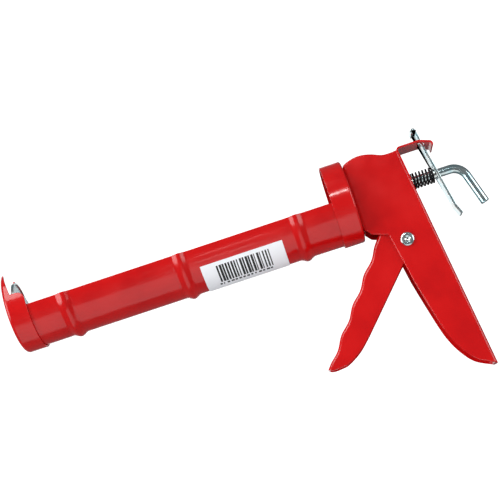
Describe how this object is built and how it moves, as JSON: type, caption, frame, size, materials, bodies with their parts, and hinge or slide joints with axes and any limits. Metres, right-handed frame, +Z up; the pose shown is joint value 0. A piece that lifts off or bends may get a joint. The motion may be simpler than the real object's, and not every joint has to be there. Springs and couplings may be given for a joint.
{
  "type": "caulking gun",
  "caption": "Half-barrel caulking gun for a sealant cartridge, red pressed steel, with a squeeze trigger, thumb release and sliding hooked rod.",
  "frame": {"origin": "centre of the bounding box in plan, at the height of the handle's foot, the gun's lowest point", "axes": "+X back along the rod from the nozzle end to the hook, +Z up with the handle hanging down, +Y across"},
  "size_m": [0.3214, 0.0572, 0.1633],
  "materials": {
    "red_enamel": "glossy enamel on pressed steel",
    "zinc_plated_sheet": "bright zinc plating with a faint blue passivation",
    "zinc_plated_rod": "bright zinc plating on drawn rod",
    "black_spring_wire": "oil-blackened spring wire",
    "label_stock": null
  },
  "bodies": {
    "frame": {"front_cap": "red_enamel", "cradle": "red_enamel", "rear_cap": "red_enamel", "barcode_label": "label_stock", "cap_rivet_1": "zinc_plated_sheet", "cap_rivet_2": "zinc_plated_sheet", "cap_rivet_3": "zinc_plated_sheet", "cap_rivet_4": "zinc_plated_sheet", "handle": "red_enamel", "pivot_rivet": "zinc_plated_sheet", "pivot_washer": "zinc_plated_sheet", "spring_washer": "zinc_plated_sheet"},
    "trigger": {"trigger": "red_enamel"},
    "drive": {"drive_plate_rear": "zinc_plated_sheet", "drive_plate_front": "zinc_plated_sheet", "drive_spring": "black_spring_wire"},
    "release": {"release_plate": "zinc_plated_sheet", "release_spring": "black_spring_wire"},
    "plunger": {"plunger_disc": "zinc_plated_sheet", "plunger_backing": "zinc_plated_sheet"},
    "rod": {"rod": "zinc_plated_rod", "plunger_nut": "zinc_plated_sheet", "lock_washer": "zinc_plated_sheet"}
  },
  "joints": [
    {"name": "trigger_pivot", "type": "hinge", "parent": "frame", "child": "trigger", "pos_m": [0.10062, 0, 0.0936], "axis": [0, -1, 0], "range_deg": [0, 42], "stiffness_Nm_per_rad": 0.6, "springref_deg": -28.65},
    {"name": "drive_slide", "type": "slide", "parent": "frame", "child": "drive", "axis": [-1, 0, 0], "range_m": [0, 0.01221], "deforming": ["drive_spring"]},
    {"name": "release_tilt", "type": "hinge", "parent": "frame", "child": "release", "pos_m": [0.13009, 0, 0.1529], "axis": [0, 1, 0], "range_deg": [0, 9], "stiffness_Nm_per_rad": 0.5, "springref_deg": -11.46, "deforming": ["release_spring"]},
    {"name": "plunger_slide", "type": "slide", "parent": "frame", "child": "plunger", "axis": [1, 0, 0], "range_m": [0, 0.225]},
    {"name": "rod_turn", "type": "hinge", "parent": "plunger", "child": "rod", "pos_m": [0.14252, 0, 0.1304], "axis": [1, 0, 0], "continuous": true}
  ],
  "couplings": [
    {"joint": "drive_slide", "follows": "trigger_pivot", "m_per_rad": 0.016622}
  ]
}
